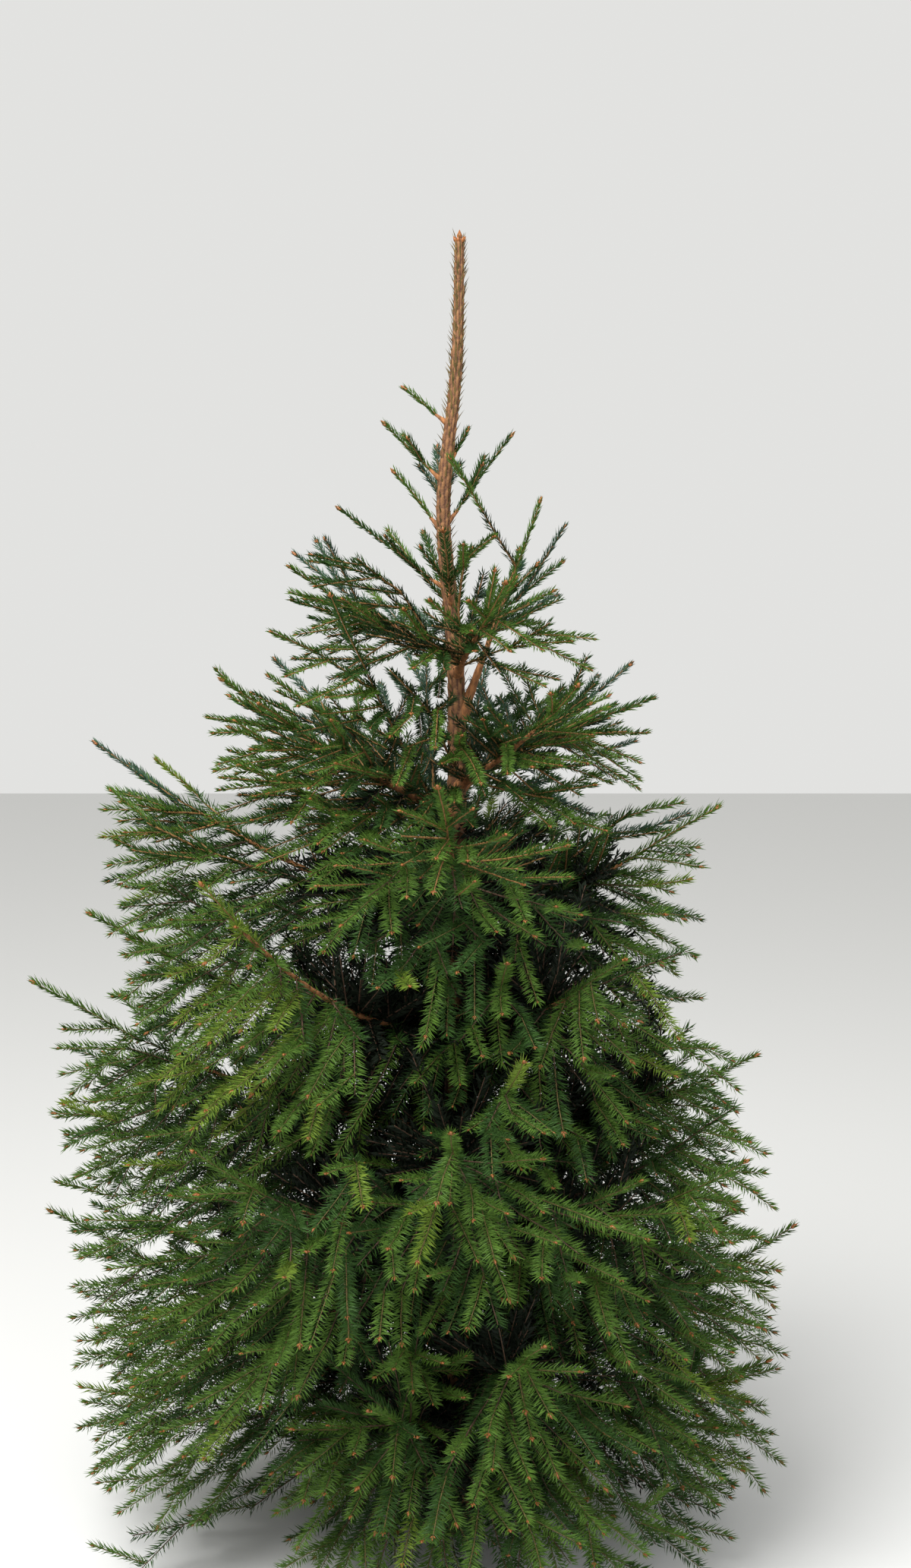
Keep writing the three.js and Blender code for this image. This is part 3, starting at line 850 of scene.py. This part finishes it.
def limbStrand(limb):
    isTwig, bare = limb["kind"] == "twig", limb["bare"]
    last = min(bare + limbBark["pastBare"][isTwig], limbBark["farthest"])
    if limb["name"] == treePlan["showyLimb"]:
        last = limbBark["onShowy"]
    count = max(3, int(limb["length"] * last / limbBark["ring"]))
    strand = []
    for i in range(count + 1):
        t = last * i / count
        place = limb["route"](t)
        if isTwig:
            radius = mix(*limbBark["twigRadii"], i / count)
        elif t > bare:
            radius = mix(limbBark["massRadius"], limbBark["lastRadius"], (t - bare) / (last - bare))
        else:
            radius = mix(limbBark["rootRadius"], limbBark["massRadius"], t / bare)
        fromTrunk = math.hypot(place.x - trunkAxis(place.z).x, place.y) - trunkRadius(place.z)
        radius *= 1 + limbBark["collar"][0] * math.exp(-max(fromTrunk, 0) / limbBark["collar"][1])
        strand.append((place, radius * (1 + limbBark["knots"][0] * math.sin(i * limbBark["knots"][1]))))
    return strand


boughs = tubeObject("boughBark", [limbStrand(limb) for limb in limbs], 3)
for v in boughs.data.vertices:
    v.co += v.normal * limbBark["relief"] * noise.noise(v.co * limbBark["grain"])
print("boughs:", len(boughs.data.polygons))


# trunk: a spun profile, bent, flared and carved with the bark's relief

trunkBark = {
    "steps": 48,
    "ring": 0.0028,
    "rows": 9,
    "rowWander": (0.5, 22),  # how far, and how often up the stem
    "pegLength": 0.017,
    "pegShift": 0.618,  # of a peg, from one row to the next
    "ridgeDepth": 0.0022,
    "flakeDepth": 0.0007,
    "flakeScale": (110, 46),  # round the stem and up
    "youngFrom": (0.75, 0.2),  # from here up, over so much, the flakes give way to narrow ridges
}


def ridge(angle, height):
    # narrow pegs in rows up the stem, each swelling to its upper end, where a needle stood
    wander, often = trunkBark["rowWander"]
    bent = wander * noise.noise(Vector((math.cos(angle), math.sin(angle), height * often)))
    row = angle / math.tau * trunkBark["rows"] + bent
    number = math.floor(row) % trunkBark["rows"]
    across = math.sin((row - math.floor(row)) * math.pi) ** 0.7
    along = height / trunkBark["pegLength"] + number * trunkBark["pegShift"]
    swell = along - math.floor(along)
    return across * (0.35 + 0.65 * swell ** 1.5 * min((1 - swell) * 8, 1))


def flake(angle, height, radius):
    around, upward = trunkBark["flakeScale"]
    at = Vector((math.cos(angle) * radius * around, math.sin(angle) * radius * around, height * upward))
    return noise.noise(at) + 0.5 * noise.noise(at * 2.7) + 0.3 * noise.noise(at * 6)


def makeTrunk():
    top = treePlan["height"] - trunkPlan["budLength"]
    rings = int(top / trunkBark["ring"])
    bm = bmesh.new()
    profile = [bm.verts.new((0, 0, 0))]
    for i in range(rings + 1):
        height = top * i / rings
        profile.append(bm.verts.new((trunkRadius(height), 0, height)))
    profile.append(bm.verts.new((0, 0, top + 0.002)))
    edges = [bm.edges.new(pair) for pair in zip(profile, profile[1:])]
    bmesh.ops.spin(bm, geom=profile + edges, cent=(0, 0, 0), axis=(0, 0, 1), angle=math.tau,
                   steps=trunkBark["steps"], use_merge=True)
    bmesh.ops.remove_doubles(bm, verts=bm.verts, dist=1e-6)
    groove = bm.verts.layers.float.new("groove")
    for v in bm.verts:
        radius = math.hypot(v.co.x, v.co.y)
        height = v.co.z
        axis = trunkAxis(height)
        if radius > 1e-5:
            angle = math.atan2(v.co.y, v.co.x)
            lobes = trunkPlan["flare"] + trunkPlan["lobeDepth"] * math.cos(angle * trunkPlan["flareLobes"])
            young = rampUp(height, *trunkBark["youngFrom"])
            pegs = ridge(angle, height)
            flakes = flake(angle, height, radius)
            relief = mix(flakes * trunkBark["flakeDepth"], (pegs - 0.3) * trunkBark["ridgeDepth"], young)
            # darker where the relief sinks between the pegs and the flakes: partly the bark's own colour,
            # partly painted shade
            v[groove] = mix(0.5 - flakes * 0.8, 1 - pegs * 1.2, young)
            grown = radius + math.exp(-height / trunkPlan["flareHeight"]) * lobes + relief
            v.co.x, v.co.y = math.cos(angle) * grown, math.sin(angle) * grown
        v.co.x += axis.x
        if height < 1e-6:
            v.co.z = 0
    bmesh.ops.recalc_face_normals(bm, faces=bm.faces)
    mesh = bpy.data.meshes.new("trunkBark")
    bm.to_mesh(mesh)
    bm.free()
    mesh.shade_smooth()
    return placeObject("trunkBark", mesh)


trunk = makeTrunk()
print("trunk:", len(trunk.data.polygons))


# needles pressed to the leader and scattered on the trunk below it

trunkNeedles = {
    "from": 0.98,
    "toTop": 0.014,
    "leaderFrom": 1.415,
    "step": 0.0022,
    "leaderStep": 0.001,
    "turnJitter": 0.4,
    "angle": 24,
    "lowerAngle": 8,  # more than that below the leader
    "angleJitter": 12,
    "length": 0.0135,
    "lengthJitter": 0.25,
    "wider": 1.2,
}


def makeTrunkNeedles():
    made = []  # root, along, side, top, length and width of each
    width = needleShape["width"] * trunkNeedles["wider"]
    height, turn = trunkNeedles["from"], 0
    while height < treePlan["height"] - trunkNeedles["toTop"]:
        isLeader = height > trunkNeedles["leaderFrom"]
        turn += goldenTurn + spread(trunkNeedles["turnJitter"])
        out = Vector((math.cos(turn), math.sin(turn), 0))
        degrees = trunkNeedles["angle"] + spread(trunkNeedles["angleJitter"])
        angle = math.radians(degrees + (0 if isLeader else trunkNeedles["lowerAngle"]))
        along = (up * math.cos(angle) + out * math.sin(angle)).normalized()
        side = along.cross(out).normalized()
        root = trunkAxis(height) + out * trunkRadius(height)
        length = trunkNeedles["length"] * (1 + spread(trunkNeedles["lengthJitter"]))
        made.append((root, along, side, side.cross(along), length, width))
        height += trunkNeedles["leaderStep" if isLeader else "step"] * atLeast(0.6, 0.8)
    return tuple(np.array(part) for part in zip(*made))


needleStacks["dry"] = [makeTrunkNeedles()]


# buds: small spindles at the tips of this year's shoots

budShape = {
    "length": 0.0058,
    "width": 0.0017,
    "byOrder": (1.3, 1.1, 0.9, 0.8),  # size, by the order of the shoot
    "outerFrom": 0.82,
    "outerSize": 1.25,
    "sideSize": 0.72,
    "leaderSizes": (2.2, 1.6),  # the top one, and the six round it
}


def makeBudTemplate():
    # four-sided, widest below its middle
    bm = coneMesh(4, 0.55, False)
    sloping = [e for e in bm.edges if abs(e.verts[0].co.z - e.verts[1].co.z) > 0.5]
    bmesh.ops.subdivide_edges(bm, edges=sloping, cuts=1)
    for v in bm.verts:
        if 0.3 < v.co.z < 0.7:
            v.co = Vector((v.co.x, v.co.y, 0)).normalized() + up * 0.4
    bmesh.ops.recalc_face_normals(bm, faces=bm.faces)
    return templateArrays(bm)


def makeBuds():
    made = []  # root, along and size of each
    for shoot in shoots:
        if shoot["age"] == 0:
            along = (shoot["points"][2] - shoot["points"][1]).normalized()
            tip = shoot["points"][2] - along * 0.001
            isOuter = shareOut(tip, shoot["limb"]) > budShape["outerFrom"]
            size = budShape["byOrder"][min(shoot["order"], 3)] * (budShape["outerSize"] if isOuter else 1)
            made.append((tip, along, size))
            if shoot["order"] < 2 or isOuter:
                for side in (-1, 1):
                    way = (along + acrossOf(along) * side * 1.1).normalized()
                    made.append((tip - along * 0.001, way, size * budShape["sideSize"]))
    top = trunkAxis(treePlan["height"] - trunkPlan["budLength"])
    topSize, roundSize = budShape["leaderSizes"]
    made.append((top - up * 0.001, up, topSize))
    for i in range(6):
        out = heading(60 * i + 15, 0)
        made.append((top + out * 0.0035 - up * 0.004, (up + out * 0.55).normalized(), roundSize))
    roots, alongs, sizes = (np.array(part) for part in zip(*made))
    sides = np.cross(alongs, (0.31, 0.12, 0.2))
    sides /= np.linalg.norm(sides, axis=1)[:, None]
    lengths, widths = budShape["length"] * sizes, budShape["width"] * sizes
    arrays = (roots, alongs, sides, np.cross(alongs, sides), lengths, widths)
    piece = meshObject("buds", *stampArrays(makeBudTemplate(), *arrays))
    piece.data.shade_smooth()
    return piece


buds = makeBuds()
print("buds:", len(buds.data.polygons))


# materials

def newMaterial(name, sockets):
    material = bpy.data.materials.new(name)
    material.use_nodes = True
    shader = material.node_tree.nodes["Principled BSDF"]
    for socket, value in sockets.items():
        shader.inputs[socket].default_value = value
    return material, material.node_tree, shader


def makeNeedleMaterial(name, lightHex, darkHex, roughness):
    # Spruce needle: a waxy skin over dark green flesh. The wax gives a soft broken gloss, and the tone
    # changes a little from needle to needle.
    sockets = {"Roughness": roughness, "IOR": 1.45, "Specular IOR Level": 0.2}
    material, tree, shader = newMaterial(name, sockets)
    place = addNode(tree, "ShaderNodeTexCoord")
    grain = addNode(tree, "ShaderNodeTexNoise", {"Vector": place.outputs["Object"], "Scale": 90, "Detail": 1})
    ramp = addNode(tree, "ShaderNodeValToRGB", {"Fac": grain.outputs["Fac"]},
                   stops=[(0.35, darkHex), (0.65, lightHex)])
    tree.links.new(ramp.outputs["Color"], shader.inputs["Base Color"])
    return material


def makeBarkMaterial(name, lightHex, darkHex, scale, roughness, bump):
    # Young spruce bark: thin, dry and finely flaked, so it is matt. One grain lightens the colour and raises
    # the bump, so the bark is darker where it sinks.
    material, tree, shader = newMaterial(name, {"Roughness": roughness, "IOR": 1.45})
    place = addNode(tree, "ShaderNodeTexCoord")
    stretch = addNode(tree, "ShaderNodeMapping", {"Vector": place.outputs["Object"], "Scale": (1, 1, 0.3)})
    grain = addNode(tree, "ShaderNodeTexNoise", {"Vector": stretch.outputs["Vector"], "Scale": scale,
                                                 "Detail": 5, "Roughness": 0.65})
    ramp = addNode(tree, "ShaderNodeValToRGB", {"Fac": grain.outputs["Fac"]},
                   stops=[(0.36, darkHex), (0.62, lightHex)])
    rough = addNode(tree, "ShaderNodeBump", {"Height": grain.outputs["Fac"], "Strength": bump,
                                             "Distance": 0.001})
    tree.links.new(ramp.outputs["Color"], shader.inputs["Base Color"])
    tree.links.new(rough.outputs["Normal"], shader.inputs["Normal"])
    return material


def makeTrunkMaterial():
    # Smooth young bark in tan ridges, with red-brown grooves between them and grey-brown flakes low down. The
    # grooves and hollows are darker partly in the bark's own colour and partly as painted shade.
    material, tree, shader = newMaterial("youngSpruceBark", {"Roughness": 0.8, "IOR": 1.45})
    place = addNode(tree, "ShaderNodeTexCoord")
    groove = addNode(tree, "ShaderNodeAttribute", attribute_name="groove")
    grain = addNode(tree, "ShaderNodeTexNoise", {"Vector": place.outputs["Object"], "Scale": 380, "Detail": 4})
    # groove depth times grain: the dark grooves are partly painted shade, and the grain is the bark's own tone
    grooveShadeAndGrain = addNode(tree, "ShaderNodeMath", {0: groove.outputs["Fac"], 1: grain.outputs["Fac"]},
                   operation="MULTIPLY")
    ramp = addNode(tree, "ShaderNodeValToRGB", {"Fac": grooveShadeAndGrain.outputs["Value"]},
                   stops=[(0.08, "#825b38"), (0.44, "#482c1c")])
    rough = addNode(tree, "ShaderNodeBump", {"Height": grain.outputs["Fac"], "Strength": 0.5,
                                             "Distance": 0.0006})
    tree.links.new(ramp.outputs["Color"], shader.inputs["Base Color"])
    tree.links.new(rough.outputs["Normal"], shader.inputs["Normal"])
    return material


greens = {
    # light, dark, roughness
    "sunlit": ("#657a29", "#516720", 0.55),
    "fresh": ("#4a6724", "#3a541c", 0.55),
    "green": ("#314e1e", "#253e17", 0.55),
    "deep": ("#1d3214", "#142510", 0.55),
    "blue": ("#405a45", "#2e4435", 0.55),
    # painted shade: the near-black green of the inner twigs
    "shaded": ("#0f190b", "#0a1208", 0.7),
    "dry": ("#6e5c34", "#4f4528", 0.6),
}
barks = {
    # light, dark, scale, roughness, bump
    "bough": ("#a26c3f", "#68452b", 260, 0.85, 0.6),
    "young": ("#6a5a30", "#4f4024", 300, 0.7, 0.3),
    "older": ("#5a4230", "#3c2a20", 300, 0.7, 0.3),
    "upper": ("#8c6538", "#674726", 300, 0.7, 0.3),
    "bud": ("#935926", "#683c1c", 500, 0.45, 0.3),
}


# finished pieces

pieceLimit = 195000  # triangles
perPiece = pieceLimit // len(needleTemplate[1])
for kind in needleGreens:
    parts = [np.concatenate(part) for part in zip(*needleStacks[kind])]
    material = makeNeedleMaterial("needle_" + kind, *greens[kind])
    pieceCount = math.ceil(len(parts[0]) / perPiece)
    for number in range(pieceCount):
        first, last = (len(parts[0]) * n // pieceCount for n in (number, number + 1))
        places, faces = stampArrays(needleTemplate, *(part[first:last] for part in parts))
        piece = meshObject(f"needles_{kind}_{number + 1}", places, faces)
        finishPiece(piece, material, massNodes)
        print(piece.name, len(piece.data.polygons))

finishPiece(trunk, makeTrunkMaterial(), ["trunk"])
finishPiece(boughs, makeBarkMaterial("boughBark", *barks["bough"]), boughNodes)
for kind, piece in twigs.items():
    finishPiece(piece, makeBarkMaterial(kind + "TwigSkin", *barks[kind]), massNodes)
finishPiece(buds, makeBarkMaterial("budScales", *barks["bud"]), massNodes)


# stage, light and camera

studio = {
    "floorSize": 6,
    "floorColor": "#cfcfcd",
    "skyColor": "#f3f3f1",
    "skyStrength": 0.85,
    "lights": [
        # name, place, target, size, power, colour
        ("skyLight", (-1.2, -1.8, 3.6), (0, 0, 0.8), 2.4, 230, "#ffffff"),
        ("frontFill", (2.2, -2.8, 2.0), (0, 0, 0.7), 1.8, 40, "#f4f7ff"),
    ],
}
view = {"place": (0, -3.5, 1.52), "pitch": 8.9, "focalPixels": 3755.8, "imageHeight": 2065, "sensor": 24}


def makeStage():
    bm = bmesh.new()
    bmesh.ops.create_grid(bm, x_segments=1, y_segments=1, size=studio["floorSize"])
    mesh = bpy.data.meshes.new("studioFloor")
    bm.to_mesh(mesh)
    bm.free()
    floor = placeObject("studioFloor", mesh)
    sockets = {"Base Color": linearColor(studio["floorColor"]), "Roughness": 0.9}
    mesh.materials.append(newMaterial("paleFloor", sockets)[0])

    world = bpy.data.worlds.new("softSky")
    world.use_nodes = True
    background = world.node_tree.nodes["Background"]
    background.inputs["Color"].default_value = linearColor(studio["skyColor"])
    background.inputs["Strength"].default_value = studio["skyStrength"]
    bpy.context.scene.world = world


def addLight(name, place, target, size, power, hexColor):
    light = bpy.data.lights.new(name, "AREA")
    light.shape = "DISK"
    light.size = size
    light.energy = power
    light.color = linearColor(hexColor)[:3]
    lamp = placeObject(name, light)
    lamp.location = place
    lamp.rotation_euler = (Vector(target) - Vector(place)).to_track_quat("-Z", "Y").to_euler()


def makeCamera():
    camera = bpy.data.cameras.new("camera")
    camera.sensor_fit = "VERTICAL"
    camera.sensor_height = view["sensor"]
    camera.lens = view["focalPixels"] / view["imageHeight"] * view["sensor"]
    camera.dof.use_dof = False
    holder = placeObject("camera", camera)
    holder.location = view["place"]
    holder.rotation_euler = (math.radians(90 - view["pitch"]), 0, 0)
    bpy.context.scene.camera = holder


bpy.context.scene.view_settings.view_transform = "Standard"
makeStage()
for light in studio["lights"]:
    addLight(*light)
makeCamera()
